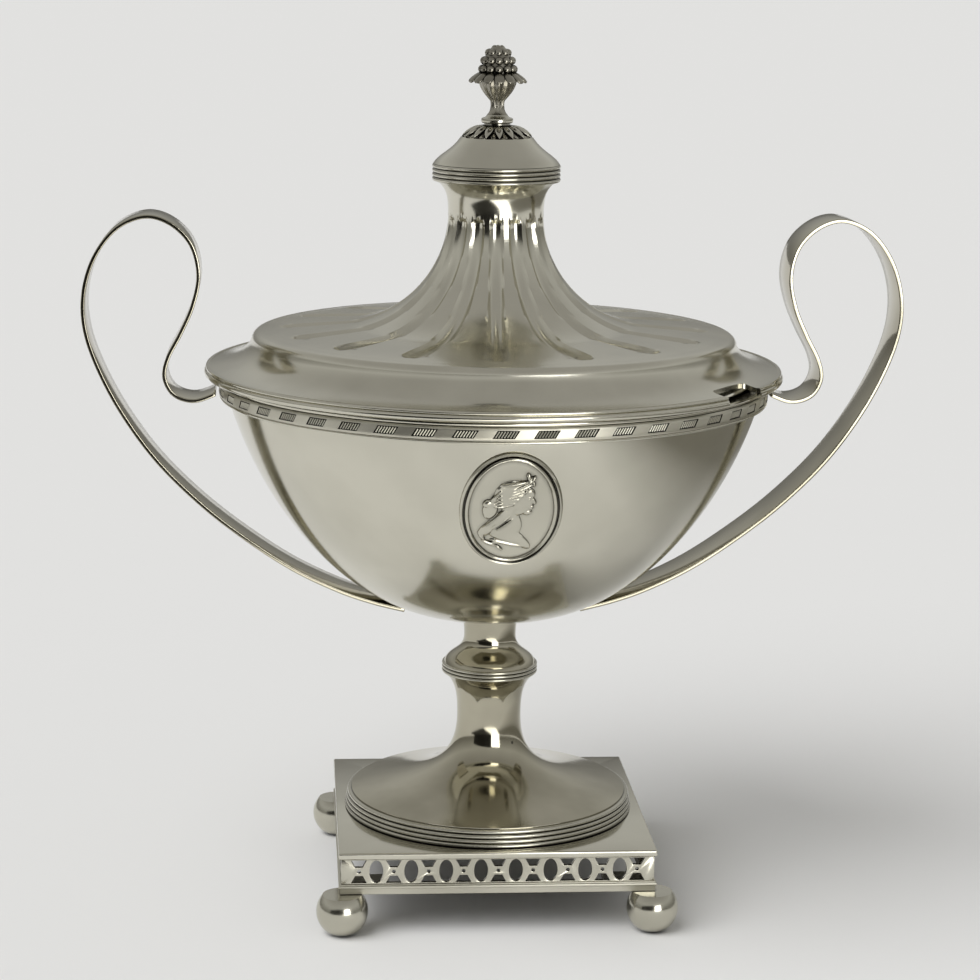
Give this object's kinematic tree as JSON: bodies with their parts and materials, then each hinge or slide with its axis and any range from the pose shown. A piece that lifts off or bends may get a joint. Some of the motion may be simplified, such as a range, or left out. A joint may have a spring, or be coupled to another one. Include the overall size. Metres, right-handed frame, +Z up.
{
  "type": "covered sugar bowl",
  "caption": "Covered two-handled sugar bowl on a stem and a pierced square plinth with ball feet; the fluted, finialled lid lifts off.",
  "frame": {"origin": "on the table, under the centre of the plinth", "axes": "+Z up; the handles lie along X; -Y is the front, which has the medallion whose bust looks to +X"},
  "size_m": [0.1822, 0.129, 0.1917],
  "materials": {
    "polished_silver": "polished, with fine handling scratches",
    "cast_silver": "polished, darker in the grooves",
    "chased_silver": "chased relief with oxidised ground",
    "plain_fixing": "plain turned, unpolished"
  },
  "bodies": {
    "bowl": {"foot_front_left": "cast_silver", "foot_front_right": "cast_silver", "foot_rear_left": "cast_silver", "foot_rear_right": "cast_silver", "plinth_frame": "cast_silver", "gallery_front": "cast_silver", "gallery_rear": "cast_silver", "gallery_left": "cast_silver", "gallery_right": "cast_silver", "plinth_plate": "polished_silver", "foot_stud": "plain_fixing", "foot_washer": "plain_fixing", "foot_nut": "plain_fixing", "pedestal_foot": "polished_silver", "pedestal_reeding": "cast_silver", "stem_knop": "cast_silver", "stem_spool": "polished_silver", "bowl_shell": "polished_silver", "rim_wire_lower": "cast_silver", "rim_border": "chased_silver", "rim_wire_upper": "cast_silver", "handle_left": "polished_silver", "handle_right": "polished_silver", "medallion_frame_front": "chased_silver", "medallion_field_front": "chased_silver", "medallion_bust_front": "chased_silver", "medallion_frame_rear": "chased_silver", "medallion_field_rear": "chased_silver", "medallion_bust_rear": "chased_silver"},
    "lid": {"lid_shell": "polished_silver", "lid_edge_bead": "cast_silver", "lid_bezel": "polished_silver", "neck_ring": "cast_silver", "lid_cap": "polished_silver", "leaf_rosette": "chased_silver", "finial_collar": "polished_silver", "finial_calyx": "chased_silver", "finial_berry": "chased_silver", "finial_stud": "plain_fixing", "finial_washer": "plain_fixing", "finial_nut": "plain_fixing"}
  },
  "joints": [
    {"name": "lid_lift", "type": "slide", "parent": "bowl", "child": "lid", "axis": [0, 0, 1], "range_m": [0, 0.07]}
  ]
}
